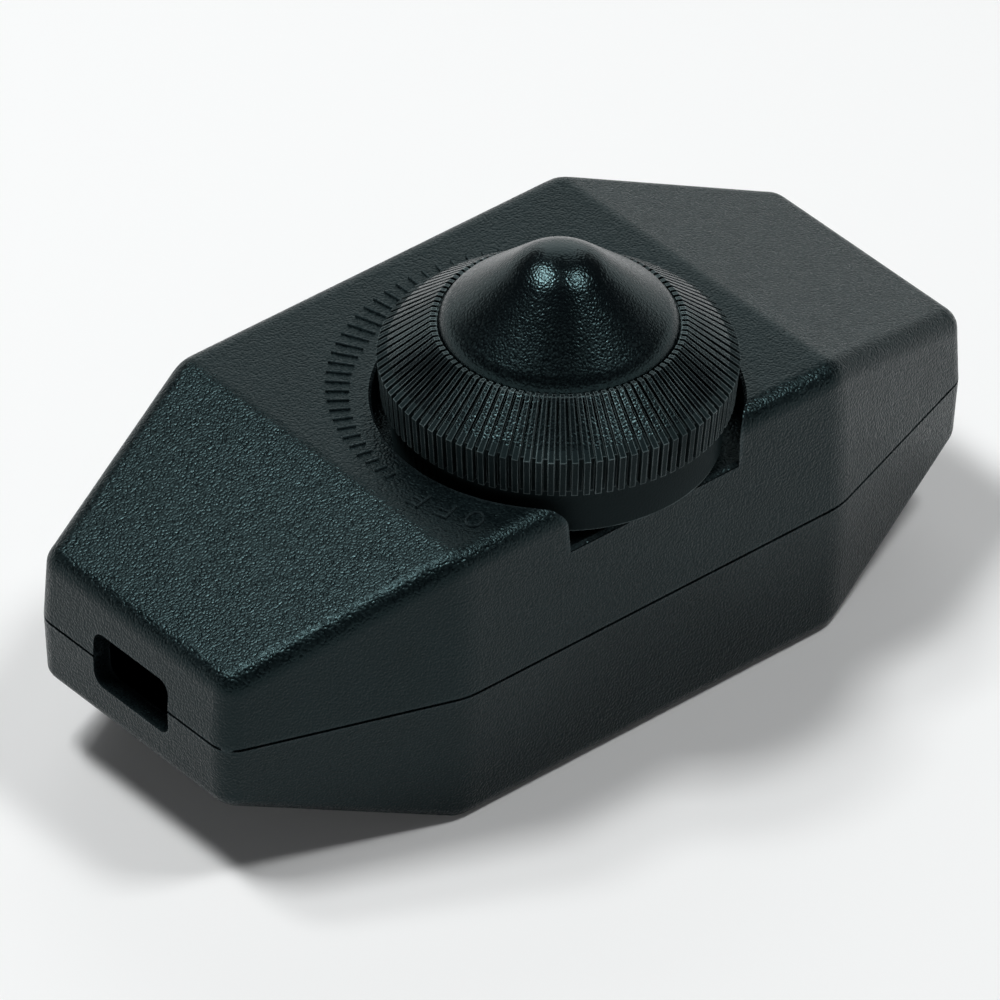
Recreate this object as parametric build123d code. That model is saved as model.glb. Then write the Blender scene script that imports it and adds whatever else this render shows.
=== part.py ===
from build123d import *
import math
import os

# Rotary light dimmer for a lamp cord: two moulded half shells, a ribbed knob set into a round well,
# and a small phase dimmer circuit inside. Millimetres. X runs along the cord, -Y is the side where
# the knob shows through the wall, Z is up, and the origin is the middle of the resting face.

# Housing, outside
length = 90.0  # over both end faces, at the seam
width = 42.3  # over both long sides, at the seam
end_width = 26.9  # across an end face, at the seam
waist_length = 45.2  # the flat top, and the straight part of each long side
base_depth = 14.75  # resting face up to the seam
cover_height = 15.3  # seam up to the flat top
base_end_height = 6.5  # end face below the seam
cover_end_height = 7.05  # end face above the seam
draft_angle = 3.0  # lean of every side wall
waist_radius = 8.0  # upright corners of the long sides
crease_radius = 3.0  # where a slope meets the flat top or the resting face
cover_edge_radius = 2.2
base_edge_radius = 1.4
corner_margin = 0.15  # the end corners are this much rounder than the rim that runs round them

# Housing walls and seam
wall = 2.0
seam_groove_height = 0.15  # on each side of the seam
seam_groove_depth = 0.3
lip_height = 1.2
lip_clearance = 0.12

# Cord inlets in the end faces
inlet_width = 10.7
inlet_height = 6.0
inlet_radius = 1.3

# Knob well in the cover
knob_offset = 6.85  # knob axis, from the middle towards -Y
well_radius = 17.1
well_depth = 4.7
well_chamfer = 0.25
sill_chamfer = 0.3
sill_groove_height = 0.12  # fine line under the sill
sill_groove_depth = 0.2

# Knob
knob_floor_gap = 0.6
knob_height = 20.45
knob_radius = 16.65  # over the ribs at their widest
skirt_radius = 16.3  # over the ribs at their lower ends
crown_radius = 11.75  # over the ribs at their upper ends
dome_radius = 11.25
foot_radius = 15.2  # plain band below the ribs
rib_foot_height = 4.85
widest_height = 8.75
crown_height = 12.55
rib_count = 94
rib_share = 0.55  # rib width as a share of the pitch
rib_depth = 0.6
crown_step = 0.35
nose_radius = 6.8
flank_angle = 41.0  # slope of the dome's straight flank
shoulder_radius = 3.2  # where the flank turns down inside the ribs
knob_wall = 1.8
knob_roof = 2.6
hub_radius = 4.6
hub_gap = 0.5
hub_web_count = 6
hub_web_width = 1.0
hub_web_drop = 2.0

# Potentiometer
shaft_radius = 3.0
shaft_running_clearance = 0.05
shaft_flat = 1.4  # depth of the flat that turns the knob
shaft_grip = 10.0  # length inside the knob
shaft_end_gap = 0.5
push_clearance = 0.03
spindle_radius = 2.2
bushing_radius = 3.5
bushing_hole_clearance = 0.15
bushing_reach = 0.7  # beyond the nut
washer_radius = 5.6
washer_thickness = 0.6
nut_across_flats = 10.0
nut_thickness = 2.2
pot_radius = 8.2
front_plate = 1.0
track_thickness = 1.4
can_depth = 6.0
can_wall = 0.5
rotor_radius = 6.4
rotor_thickness = 1.2
wiper_thickness = 0.3
wiper_bump = 0.3
moving_gap = 0.3
switch_length = 15.0
switch_width = 12.0
switch_height = 4.6
switch_pocket = 3.0
tail_pitch = 5.0
tail_width = 1.2
tail_thickness = 0.4
tail_reach = 1.2  # beyond the can
tab_margin = 1.5

# Circuit board
board_thickness = 1.6
board_pot_gap = 1.0
board_end_gap = 2.0
board_side_gap = 0.4
board_edge_margin = 0.4
board_corner = 2.0
lead_radius = 0.3
lead_hole_clearance = 0.15
lead_length = 1.2  # below the board

# Board parts
choke_diameter = 12.4
choke_bore = 6.6
choke_height = 5.6
choke_chamfer = 0.45
winding_bed = 0.35  # solid part of the winding on the core
wire_thickness = 0.55  # turns that stand out of it
turn_count = 20
winding_angle = 300.0
turn_angle = 8.0
mains_cap_length = 13.0
mains_cap_width = 5.0
mains_cap_height = 11.0
mains_cap_pitch = 10.0
mains_cap_overhang = 3.0  # beyond the potentiometer's middle
capacitor_edge_radius = 0.5
timing_cap_length = 6.8
timing_cap_width = 2.5
timing_cap_height = 6.5
timing_cap_pitch = 5.0
resistor_radius = 1.2
resistor_length = 6.3
resistor_bend = 1.3
resistor_spacing = 2.8
diac_radius = 0.95
diac_length = 4.2
diac_pitch = 7.0
fuse_radius = 4.2
fuse_height = 7.7
fuse_pitch = 5.08
part_gap = 0.5  # between neighbours on the board
triac_width = 10.0
triac_body_length = 9.0
triac_tab_length = 6.4
triac_thickness = 4.4
triac_tab_thickness = 1.3
triac_lead_reach = 2.0
triac_lead_pitch = 2.54
heatsink_thickness = 1.2
heatsink_margin = 1.0
heatsink_fin_height = 12.0
triac_screw_radius = 1.5
triac_screw_head_radius = 2.8
triac_screw_head_height = 1.9
triac_screw_end = 0.6  # beyond the nut
triac_nut_across_flats = 5.5
triac_nut_thickness = 2.2

# Terminal blocks
block_length = 7.4
block_width = 10.2
block_height = 9.6
pole_pitch = 5.0
cage_length = 4.4
cage_width = 4.0
cage_height = 6.0
cage_clearance = 0.1
wire_hole_radius = 1.4
wire_hole_height = 3.0
terminal_screw_radius = 1.2
terminal_head_radius = 1.7
terminal_head_height = 1.5
terminal_head_clearance = 0.2
terminal_head_sink = 1.0
slot_width = 0.7  # straight slots in screw heads
block_edge_gap = 0.5

# Fixings
pillar_wall = 1.05
housing_screw_inset = 2.6  # from the end of the straight side towards the middle
housing_screw_radius = 1.25
housing_screw_length = 16.0
housing_head_radius = 2.2
housing_head_height = 1.6
housing_head_depth = 6.5
boss_radius = 3.0
screw_clearance = 0.15
thread_clearance = 0.02
boss_hole_spare = 0.8
board_screw_inset = 3.0
board_post_radius = 2.3
board_screw_radius = 0.95
board_screw_length = 5.0
board_head_radius = 1.9
board_head_height = 1.3

# Cord clamps
clamp_inset = 8.5
clamp_length = 4.0
clamp_thickness = 2.4
clamp_screw_spread = 8.2
clamp_seat_drop = 0.6
clamp_rib_height = 0.8
clamp_rib_count = 2
saddle_drop = 3.2
saddle_length = 3.0
saddle_width = 11.6
clamp_screw_radius = 1.2
clamp_screw_length = 7.0
clamp_head_radius = 2.3
clamp_head_height = 1.7

# Levels that follow from the sizes above
seam = base_depth
top = seam + cover_height
well_floor = top - well_depth
pot_seat = well_floor - wall
knob_foot = well_floor + knob_floor_gap
nut_top = well_floor + washer_thickness + nut_thickness
bushing_top = nut_top + bushing_reach
hub_foot = bushing_top + hub_gap
shaft_top = hub_foot + shaft_grip
track_top = pot_seat - front_plate
track_foot = track_top - track_thickness
can_foot = track_foot - can_depth
switch_foot = can_foot - switch_height
board_top = switch_foot - board_pot_gap
board_foot = board_top - board_thickness
lead_end = board_foot - lead_length

# Places that follow from the sizes above
lean = math.tan(math.radians(draft_angle))
corner_radius = cover_edge_radius + cover_end_height * lean + corner_margin
knob_y = -knob_offset
housing_head_bore = housing_head_radius + screw_clearance
pillar_radius = housing_head_bore + pillar_wall
housing_screw_x = waist_length / 2 - housing_screw_inset
housing_screw_y = width / 2 - wall - pillar_radius + pillar_wall / 2
clamp_x = length / 2 - clamp_inset
board_half_length = clamp_x - clamp_length / 2 - board_end_gap
board_half_width = housing_screw_y - pillar_radius - board_side_gap
post_x = board_half_length - board_screw_inset
post_y = board_half_width - board_screw_inset
terminal_x = board_half_length - block_edge_gap - block_length / 2


def disc(radius, low, high, x=0.0, y=0.0):
    """Upright cylinder between two levels."""
    return Pos(x, y, low) * Cylinder(radius, high - low, align=(Align.CENTER, Align.CENTER, Align.MIN))


def block(x_size, y_size, low, high, x=0.0, y=0.0):
    """Box centred on x and y between two levels."""
    return Pos(x, y, low) * Box(x_size, y_size, high - low, align=(Align.CENTER, Align.CENTER, Align.MIN))


def four_corners(x, y):
    return [(x, y), (-x, y), (-x, -y), (x, -y)]


def joined(shapes):
    """One node made of separate solids."""
    return Compound(children=list(shapes))


def turned(points, arc=360.0):
    """Solid of revolution about Z from points given as radius and level."""
    face = make_face(Polyline(*[(r, 0, z) for r, z in points], close=True))
    return revolve(face, axis=Axis.Z, revolution_arc=arc)


def plan_outline(inset=0.0):
    """Long octagon of the housing seen from above, moved inwards by inset."""
    half_length = length / 2
    half_width = width / 2
    outline = Polygon(
        (half_length, -end_width / 2),
        (half_length, end_width / 2),
        (waist_length / 2, half_width),
        (-waist_length / 2, half_width),
        (-half_length, end_width / 2),
        (-half_length, -end_width / 2),
        (-waist_length / 2, -half_width),
        (waist_length / 2, -half_width),
        align=None,
    )
    if inset > 0:
        return offset(outline, -inset, kind=Kind.INTERSECTION)
    halfway = (half_length + waist_length / 2) / 2
    ends = [v for v in outline.vertices() if abs(v.X) > halfway]
    outline = fillet(ends, corner_radius)
    waists = [v for v in outline.vertices() if abs(abs(v.X) - waist_length / 2) < corner_radius / 2]
    return fillet(waists, waist_radius)


def half_form(height, end_height, inset=0.0):
    """Half of the housing as a solid standing on the seam: drafted walls, flat top and two slopes."""
    half_length = length / 2
    half_waist = waist_length / 2
    reach = 2 * wall + inset
    slope = (height - end_height) / (half_length - half_waist)
    far_x = half_length + reach
    far_z = end_height - slope * reach
    roof = Polygon(
        (-far_x, -reach),
        (far_x, -reach),
        (far_x, far_z),
        (half_waist, height),
        (-half_waist, height),
        (-far_x, far_z),
        align=None,
    )
    if inset > 0:
        roof = offset(roof, -inset, kind=Kind.INTERSECTION)
    else:
        creases = [v for v in roof.vertices() if abs(v.Y - height) < 1e-6]
        roof = fillet(creases, crease_radius)
    prism = extrude(Plane.XZ * roof, width, both=True)
    walls = extrude(plan_outline(inset), height + reach, taper=draft_angle)
    return walls & prism


def round_rim(form, radius):
    """Round the one closed edge where the walls meet the flat and the slopes."""
    lids = [face for face in form.faces() if face.normal_at().Z > 0.5]
    edges = [edge for face in lids for edge in face.edges()]
    rim = [edge for edge in edges if sum(edge.is_same(other) for other in edges) == 1]
    return fillet(rim, radius)


def upside_down(form):
    """Turn a half form over so that it hangs below the seam."""
    return mirror(form, about=Plane.XY)


def seam_ring(outer_inset, inner_inset, height):
    """Band that follows the housing outline, standing on the seam plane."""
    return extrude(plan_outline(outer_inset) - plan_outline(inner_inset), height)


def inlet_cutters():
    """Rounded openings through both end walls, half in each shell."""
    opening = RectangleRounded(inlet_width, inlet_height, inlet_radius)
    through = 2 * wall
    start = length / 2 - through
    cutter = extrude(Plane.YZ.offset(start) * opening, 2 * through)
    return [Pos(0, 0, seam) * cutter, Pos(0, 0, seam) * mirror(cutter, about=Plane.YZ)]


def sill_cutter(floor):
    """Takes off the sill's upper edge and leaves a fine line under it."""
    wall_y = -width / 2 + floor * lean
    outside = wall_y - wall
    line_top = floor - sill_chamfer
    line_foot = line_top - sill_groove_height
    section = Polygon(
        (outside, floor + sill_chamfer),
        (wall_y + 2 * sill_chamfer, floor + sill_chamfer),
        (wall_y, line_top),
        (wall_y + sill_groove_depth, line_top),
        (wall_y + sill_groove_depth, line_foot),
        (outside, line_foot),
        align=None,
    )
    return extrude(Plane.YZ * section, well_radius, both=True)


def make_cover_shell():
    """Upper shell: the knob well breaks out through the near wall and leaves a low sill there."""
    form = round_rim(half_form(cover_height, cover_end_height), cover_edge_radius)
    shell = form - half_form(cover_height, cover_end_height, wall)
    well_block = disc(well_radius + wall, pot_seat - seam, cover_height, 0, knob_y)
    shell += well_block & form
    for x, y in four_corners(housing_screw_x, housing_screw_y):
        shell += disc(boss_radius, 0, cover_height - wall / 2, x, y) & form
    floor = well_floor - seam
    shell -= disc(well_radius, floor, top, 0, knob_y)
    shell -= Pos(0, knob_y, 0) * turned([
        (0, cover_height - well_chamfer),
        (well_radius, cover_height - well_chamfer),
        (well_radius + 2 * well_chamfer, cover_height + well_chamfer),
        (0, cover_height + well_chamfer),
    ])
    shell -= disc(bushing_radius + bushing_hole_clearance, 0, top, 0, knob_y)
    shell -= sill_cutter(floor) & disc(well_radius, floor - wall, top, 0, knob_y)
    hole_depth = housing_head_depth + housing_screw_length + boss_hole_spare - seam
    for x, y in four_corners(housing_screw_x, housing_screw_y):
        shell -= disc(housing_screw_radius + thread_clearance, 0, hole_depth, x, y)
    shell -= seam_ring(wall / 2, wall + lip_clearance, lip_height + lip_clearance)
    shell -= seam_ring(0, seam_groove_depth, seam_groove_height)
    shell = Pos(0, 0, seam) * shell
    for cutter in inlet_cutters():
        shell -= cutter
    return shell


def make_base_shell():
    """Lower shell: screw pillars, board posts, cord clamp bosses and the lip that enters the cover."""
    form = upside_down(round_rim(half_form(base_depth, base_end_height), base_edge_radius))
    form = Pos(0, 0, seam) * form
    shell = form - Pos(0, 0, seam) * upside_down(half_form(base_depth, base_end_height, wall))
    for x, y in four_corners(housing_screw_x, housing_screw_y):
        shell += disc(pillar_radius, 0, seam, x, y) & form
    for x, y in four_corners(post_x, post_y):
        shell += disc(board_post_radius, 0, board_foot, x, y) & form
    for x, y in four_corners(clamp_x, clamp_screw_spread):
        shell += disc(clamp_head_radius, 0, seam - clamp_seat_drop, x, y) & form
    for x in (clamp_x, -clamp_x):
        shell += block(saddle_length, saddle_width, 0, seam - saddle_drop, x) & form
    shell += Pos(0, 0, seam) * seam_ring(wall / 2 + lip_clearance, wall, lip_height)
    for x, y in four_corners(housing_screw_x, housing_screw_y):
        shell -= disc(housing_head_bore, 0, housing_head_depth, x, y)
        shell -= disc(housing_screw_radius + screw_clearance, 0, top, x, y)
    for x, y in four_corners(post_x, post_y):
        hole_foot = board_top - board_screw_length - boss_hole_spare
        shell -= disc(board_screw_radius + thread_clearance, hole_foot, top, x, y)
    for x, y in four_corners(clamp_x, clamp_screw_spread):
        hole_foot = seam - clamp_seat_drop + clamp_thickness - clamp_screw_length - boss_hole_spare
        shell -= disc(clamp_screw_radius + thread_clearance, hole_foot, top, x, y)
    groove = seam_ring(0, seam_groove_depth, seam_groove_height)
    shell -= Pos(0, 0, seam) * upside_down(groove)
    for cutter in inlet_cutters():
        shell -= cutter
    return shell


def shaft_section(clearance=0.0):
    """Round shaft with one flat, or the hole for it."""
    radius = shaft_radius + clearance
    cut_x = shaft_radius - shaft_flat + clearance
    return Circle(radius) - Pos(cut_x + radius, 0) * Rectangle(2 * radius, 2 * radius)


def knob_dome(foot):
    """Round nose, straight flank, and a shoulder that turns down inside the ribs."""
    swing = math.radians(flank_angle)
    nose_centre = knob_height - nose_radius
    nose_edge = (nose_radius * math.sin(swing), 0, nose_centre + nose_radius * math.cos(swing))
    nose_middle = (nose_radius * math.sin(swing / 2), 0, nose_centre + nose_radius * math.cos(swing / 2))
    nose = ThreePointArc((0, 0, knob_height), nose_middle, nose_edge)
    flank_foot = nose_edge[2] - (dome_radius - nose_edge[0]) * math.tan(swing)
    side = Polyline(
        nose_edge,
        (dome_radius, 0, flank_foot),
        (dome_radius, 0, foot),
        (0, 0, foot),
        (0, 0, knob_height),
    )
    face = make_face([nose, side])
    shoulder = [v for v in face.vertices() if abs(v.X - dome_radius) < 1e-6 and v.Z > foot + 1e-6]
    return revolve(fillet(shoulder, shoulder_radius), axis=Axis.Z)


def make_knob():
    """Finger knob: plain foot, ribbed skirt and cone, and a smooth dome."""
    dome_foot = crown_height - crown_step
    core = knob_dome(widest_height) + turned([
        (0, 0),
        (foot_radius, 0),
        (foot_radius, rib_foot_height),
        (skirt_radius - rib_depth, rib_foot_height),
        (knob_radius - rib_depth, widest_height),
        (dome_radius, dome_foot),
        (0, dome_foot),
    ])
    pitch = 360.0 / rib_count
    rib = turned([
        (foot_radius, rib_foot_height),
        (skirt_radius, rib_foot_height),
        (knob_radius, widest_height),
        (crown_radius, crown_height),
        (dome_radius, crown_height),
        (dome_radius, dome_foot - rib_depth),
        (foot_radius, widest_height - rib_depth),
    ], pitch * rib_share)
    core += [Rot(0, 0, index * pitch) * rib for index in range(rib_count)]
    hub_start = hub_foot - knob_foot
    rim = foot_radius - knob_wall
    ceiling = dome_foot - knob_roof
    shoulder = widest_height - knob_wall
    core -= turned([
        (0, 0),
        (rim, 0),
        (rim, shoulder),
        (dome_radius - knob_wall, ceiling),
        (hub_radius, ceiling),
        (hub_radius, hub_start),
        (0, hub_start),
    ])
    web_length = rim - hub_radius + knob_wall
    web_foot = hub_start + hub_web_drop
    web_middle = hub_radius + (web_length - knob_wall) / 2
    web = block(web_length, hub_web_width, web_foot, ceiling + knob_wall / 2, web_middle)
    web &= turned([
        (0, 0),
        (rim + knob_wall / 2, 0),
        (rim + knob_wall / 2, shoulder),
        (dome_radius, ceiling + knob_wall / 2),
        (0, ceiling + knob_wall / 2),
    ])
    core += [Rot(0, 0, index * 360.0 / hub_web_count) * web for index in range(hub_web_count)]
    bore = extrude(shaft_section(push_clearance), shaft_grip + shaft_end_gap)
    core -= Pos(0, 0, hub_start) * bore
    return Pos(0, knob_y, knob_foot) * core


def make_pot_shaft():
    """Shaft with a flat for the knob and a thin spindle for the wiper and the switch."""
    shoulder = track_top - moving_gap
    spindle_foot = can_foot - switch_pocket + moving_gap
    shaft = disc(shaft_radius, shoulder, bushing_top)
    shaft += Pos(0, 0, bushing_top) * extrude(shaft_section(), shaft_top - bushing_top)
    shaft += disc(spindle_radius, spindle_foot, shoulder)
    return Pos(0, knob_y, 0) * shaft


def make_pot_bushing():
    """Front plate and threaded sleeve that the shaft turns in."""
    bushing = disc(pot_radius, track_top, pot_seat) + disc(bushing_radius, pot_seat, bushing_top)
    bushing -= disc(shaft_radius + shaft_running_clearance, track_top, bushing_top)
    return Pos(0, knob_y, 0) * bushing


def make_pot_washer():
    washer = disc(washer_radius, well_floor, well_floor + washer_thickness)
    washer -= disc(bushing_radius + thread_clearance, well_floor, top)
    return Pos(0, knob_y, 0) * washer


def make_pot_nut():
    low = well_floor + washer_thickness
    nut = Pos(0, 0, low) * extrude(RegularPolygon(nut_across_flats / 2, 6, major_radius=False), nut_thickness)
    nut -= disc(bushing_radius + thread_clearance, low, top)
    return Pos(0, knob_y, 0) * nut


def tail_places():
    """Middle of each track terminal, in plan."""
    y = knob_y + pot_radius + tail_reach
    return [(step * tail_pitch, y) for step in (-1, 0, 1)]


def make_pot_track():
    """Round card with the resistance track and a tab that carries the terminals."""
    tab_width = 2 * tail_pitch + tail_width + 2 * tab_margin
    tab_length = pot_radius + tail_reach + tab_margin
    card = disc(pot_radius, track_foot, track_top)
    card += block(tab_width, tab_length, track_foot, track_top, 0, tab_length / 2)
    card -= disc(shaft_radius + moving_gap, track_foot, track_top)
    return Pos(0, knob_y, 0) * card


def make_pot_terminals():
    return joined(block(tail_width, tail_thickness, lead_end, track_foot, x, y) for x, y in tail_places())


def make_pot_can():
    """Pressed cup that closes the potentiometer."""
    can = disc(pot_radius, can_foot, track_foot)
    can -= disc(pot_radius - can_wall, can_foot + can_wall, track_foot)
    can -= disc(spindle_radius + moving_gap, can_foot, track_foot)
    return Pos(0, knob_y, 0) * can


def rotor_top():
    return track_foot - moving_gap - wiper_bump - wiper_thickness


def make_pot_rotor():
    rotor = disc(rotor_radius, rotor_top() - rotor_thickness, rotor_top())
    rotor -= disc(spindle_radius + push_clearance, can_foot, track_foot)
    return Pos(0, knob_y, 0) * rotor


def make_pot_wiper():
    """Contact ring with two raised points under the track."""
    low = rotor_top()
    wiper = disc(rotor_radius - can_wall, low, low + wiper_thickness)
    wiper -= disc((rotor_radius + spindle_radius) / 2, low, track_top)
    bump_radius = (rotor_radius - spindle_radius) / 8
    bump_place = (rotor_radius + spindle_radius) / 2 + 2 * bump_radius
    bump_foot = low + wiper_thickness
    for side in (-1, 1):
        wiper += disc(bump_radius, bump_foot, bump_foot + wiper_bump, side * bump_place)
    return Pos(0, knob_y, 0) * wiper


def switch_pin_places():
    return [(side * tail_pitch, knob_y) for side in (-1, 1)]


def make_switch_case():
    """Closed mains switch behind the potentiometer, worked by the spindle's end."""
    case = block(switch_length, switch_width, switch_foot, can_foot, 0, knob_y)
    case = fillet(case.edges().filter_by(Axis.Z), switch_width / 8)
    case -= disc(spindle_radius + moving_gap, can_foot - switch_pocket, can_foot, 0, knob_y)
    for x, y in switch_pin_places():
        case += disc(2 * lead_radius, lead_end, switch_foot, x, y)
    return case


def choke_place():
    reach = choke_diameter / 2 + winding_bed + wire_thickness
    x = -terminal_x + block_length / 2 + part_gap + reach
    return (x, board_half_width - board_edge_margin - reach)


def choke_lead_places():
    """Under the two ends of the winding."""
    x, y = choke_place()
    swing = math.radians((winding_angle - turn_angle) / 2)
    reach = (choke_diameter + choke_bore) / 4
    return [(x + side * reach * math.sin(swing), y + reach * math.cos(swing)) for side in (-1, 1)]


def mains_cap_place():
    y = board_half_width - board_edge_margin - mains_cap_width / 2
    return (mains_cap_length / 2 - mains_cap_overhang, y)


def mains_cap_lead_places():
    x, y = mains_cap_place()
    return [(x + side * mains_cap_pitch / 2, y) for side in (-1, 1)]


def fuse_place():
    return (-pot_radius - part_gap - fuse_radius, -board_half_width + board_edge_margin + fuse_radius)


def fuse_lead_places():
    x, y = fuse_place()
    return [(x, y + side * fuse_pitch / 2) for side in (-1, 1)]


def timing_cap_place():
    x, _ = fuse_place()
    y = -board_half_width + board_edge_margin + timing_cap_length / 2
    return (x - fuse_radius - part_gap - timing_cap_width / 2, y)


def timing_cap_lead_places():
    x, y = timing_cap_place()
    return [(x, y + side * timing_cap_pitch / 2) for side in (-1, 1)]


def diac_place():
    return (-terminal_x, block_width / 2 + diac_radius + board_edge_margin)


def diac_lead_places():
    x, y = diac_place()
    return [(x + side * diac_pitch / 2, y) for side in (-1, 1)]


def resistor_places():
    x = terminal_x - block_length / 2 - part_gap - resistor_radius
    first_y = board_half_width - board_edge_margin - resistor_radius
    return [(x, first_y), (x, first_y - resistor_spacing)]


def resistor_lead_places():
    return [(x + shift, y) for x, y in resistor_places() for shift in (0, -2 * resistor_bend)]


def triac_place():
    """Middle of the triac's body and tab together."""
    x = switch_length / 2 + part_gap + heatsink_margin + triac_width / 2
    sink_front = -board_half_width + board_edge_margin + heatsink_thickness
    return (x, sink_front + (triac_body_length + triac_tab_length) / 2)


def triac_front_y():
    return triac_place()[1] + (triac_body_length + triac_tab_length) / 2


def triac_lead_places():
    x, _ = triac_place()
    return [(x + step * triac_lead_pitch, triac_front_y() + triac_lead_reach) for step in (-1, 0, 1)]


def triac_hole_place():
    x, y = triac_place()
    return (x, y - triac_body_length / 2)


def pole_places():
    return four_corners(terminal_x, pole_pitch / 2)


def leads(places, height):
    """Round wires from below the board up to a height above it."""
    return [disc(lead_radius, lead_end, board_top + height, x, y) for x, y in places]


def make_circuit_board():
    board = block(2 * board_half_length, 2 * board_half_width, board_foot, board_top)
    board = chamfer(board.edges().filter_by(Axis.Z), board_corner)
    thin = lead_radius + lead_hole_clearance
    thick = 2 * lead_radius + lead_hole_clearance
    tail = tail_width / 2 + lead_hole_clearance
    wires = choke_lead_places() + mains_cap_lead_places() + timing_cap_lead_places() + fuse_lead_places()
    wires += diac_lead_places() + resistor_lead_places() + triac_lead_places()
    drills = [(place, thin) for place in wires]
    drills += [(place, thick) for place in switch_pin_places() + pole_places()]
    drills += [(place, tail) for place in tail_places()]
    drills += [(triac_hole_place(), triac_screw_radius + screw_clearance)]
    drills += [(place, board_screw_radius + screw_clearance) for place in four_corners(post_x, post_y)]
    return board - [disc(radius, board_foot, board_top, x, y) for (x, y), radius in drills]


def make_choke_core():
    x, y = choke_place()
    low = board_top + winding_bed + wire_thickness
    high = low + choke_height
    ring = disc(choke_diameter / 2, low, high) - disc(choke_bore / 2, low, high)
    ring = chamfer(ring.edges().filter_by(GeomType.CIRCLE), choke_chamfer)
    return Pos(x, y, 0) * ring


def winding_section(cover, angle):
    """Part turn of a band wrapped round the core at a given thickness."""
    low = board_top + winding_bed + wire_thickness
    high = low + choke_height
    inner_radius = choke_bore / 2
    outer_radius = choke_diameter / 2
    band = turned([
        (inner_radius - cover, low - cover),
        (outer_radius + cover, low - cover),
        (outer_radius + cover, high + cover),
        (inner_radius - cover, high + cover),
    ], angle)
    return band - (disc(outer_radius, low, high) - disc(inner_radius, low, high))


def make_choke_winding():
    """Enamelled wire round the core, side by side turns with a gap between the two ends."""
    x, y = choke_place()
    start = 90.0 - winding_angle / 2
    step = (winding_angle - turn_angle) / (turn_count - 1)
    winding = Rot(0, 0, start) * winding_section(winding_bed, winding_angle)
    turn = winding_section(winding_bed + wire_thickness, turn_angle)
    winding += [Rot(0, 0, start + index * step) * turn for index in range(turn_count)]
    winding = Pos(x, y, 0) * winding
    return winding + leads(choke_lead_places(), wire_thickness)


def boxed_part(place, x_size, y_size, height, lead_places):
    """Moulded box on the board with two wires."""
    x, y = place
    body = block(x_size, y_size, board_top, board_top + height, x, y)
    rim = body.faces().sort_by(Axis.Z)[-1].edges()
    body = fillet(body.edges().filter_by(Axis.Z) + rim, capacitor_edge_radius)
    return body + leads(lead_places, capacitor_edge_radius)


def make_mains_capacitor():
    places = mains_cap_lead_places()
    return boxed_part(mains_cap_place(), mains_cap_length, mains_cap_width, mains_cap_height, places)


def make_timing_capacitor():
    places = timing_cap_lead_places()
    return boxed_part(timing_cap_place(), timing_cap_width, timing_cap_length, timing_cap_height, places)


def make_fuse():
    """Small round radial fuse."""
    x, y = fuse_place()
    body = disc(fuse_radius, board_top, board_top + fuse_height, x, y)
    body = fillet(body.faces().sort_by(Axis.Z)[-1].edges(), fuse_radius / 8)
    return body + leads(fuse_lead_places(), fuse_height / 4)


def make_resistors():
    """Two upright resistors, each with its top wire bent over and back down."""
    solids = []
    for x, y in resistor_places():
        low = board_top + resistor_bend
        high = low + resistor_length
        body = disc(resistor_radius, low, high, x, y)
        body = chamfer(body.edges().filter_by(GeomType.CIRCLE), resistor_radius / 3)
        hoop = Pos(x - resistor_bend, y, high) * Rot(90, 0, 0) * Torus(resistor_bend, lead_radius)
        reach = 2 * (resistor_bend + lead_radius)
        hoop &= block(reach, reach, high, high + reach, x - resistor_bend, y)
        wires = disc(lead_radius, lead_end, high, x, y)
        wires += disc(lead_radius, lead_end, high, x - 2 * resistor_bend, y)
        solids.append(body + wires + hoop)
    return joined(solids)


def make_diac():
    """Small glass part lying along the terminal block."""
    x, y = diac_place()
    level = board_top + diac_radius
    body = Pos(x, y, level) * Rot(0, 90, 0) * Cylinder(diac_radius, diac_length)
    body = chamfer(body.edges().filter_by(GeomType.CIRCLE), diac_radius / 3)
    wire = Pos(x, y, level) * Rot(0, 90, 0) * Cylinder(lead_radius, diac_pitch)
    return body + wire + leads(diac_lead_places(), diac_radius)


def make_triac():
    """Flat power part: moulded body, metal tab with a screw hole, three bent wires."""
    x, _ = triac_place()
    low = board_top + heatsink_thickness
    front = triac_front_y()
    body_y = front - triac_body_length / 2
    body = block(triac_width, triac_body_length, low, low + triac_thickness, x, body_y)
    body = chamfer(body.faces().sort_by(Axis.Z)[-1].edges(), triac_tab_thickness / 3)
    tab_y = front - triac_body_length - triac_tab_length / 2
    tab = block(triac_width, triac_tab_length, low, low + triac_tab_thickness, x, tab_y)
    hole_x, hole_y = triac_hole_place()
    tab -= disc(triac_screw_radius + screw_clearance, low, low + triac_thickness, hole_x, hole_y)
    wire_level = low + triac_thickness / 2
    triac = body + tab
    wire = 2 * lead_radius
    for wire_x, wire_y in triac_lead_places():
        reach = wire_y + lead_radius - front
        triac += block(wire, reach, wire_level, wire_level + wire, wire_x, front + reach / 2)
        triac += disc(lead_radius, lead_end, wire_level + lead_radius, wire_x, wire_y)
    return triac


def make_heatsink():
    """Bent aluminium plate under the triac, with an upright edge."""
    x, y = triac_place()
    sink_width = triac_width + 2 * heatsink_margin
    triac_length = triac_body_length + triac_tab_length
    flat = block(sink_width, triac_length, board_top, board_top + heatsink_thickness, x, y)
    edge_y = y - (triac_length + heatsink_thickness) / 2
    fin = block(sink_width, heatsink_thickness, board_top, board_top + heatsink_fin_height, x, edge_y)
    hole_x, hole_y = triac_hole_place()
    return flat + fin - disc(triac_screw_radius + screw_clearance, board_foot, top, hole_x, hole_y)


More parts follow.
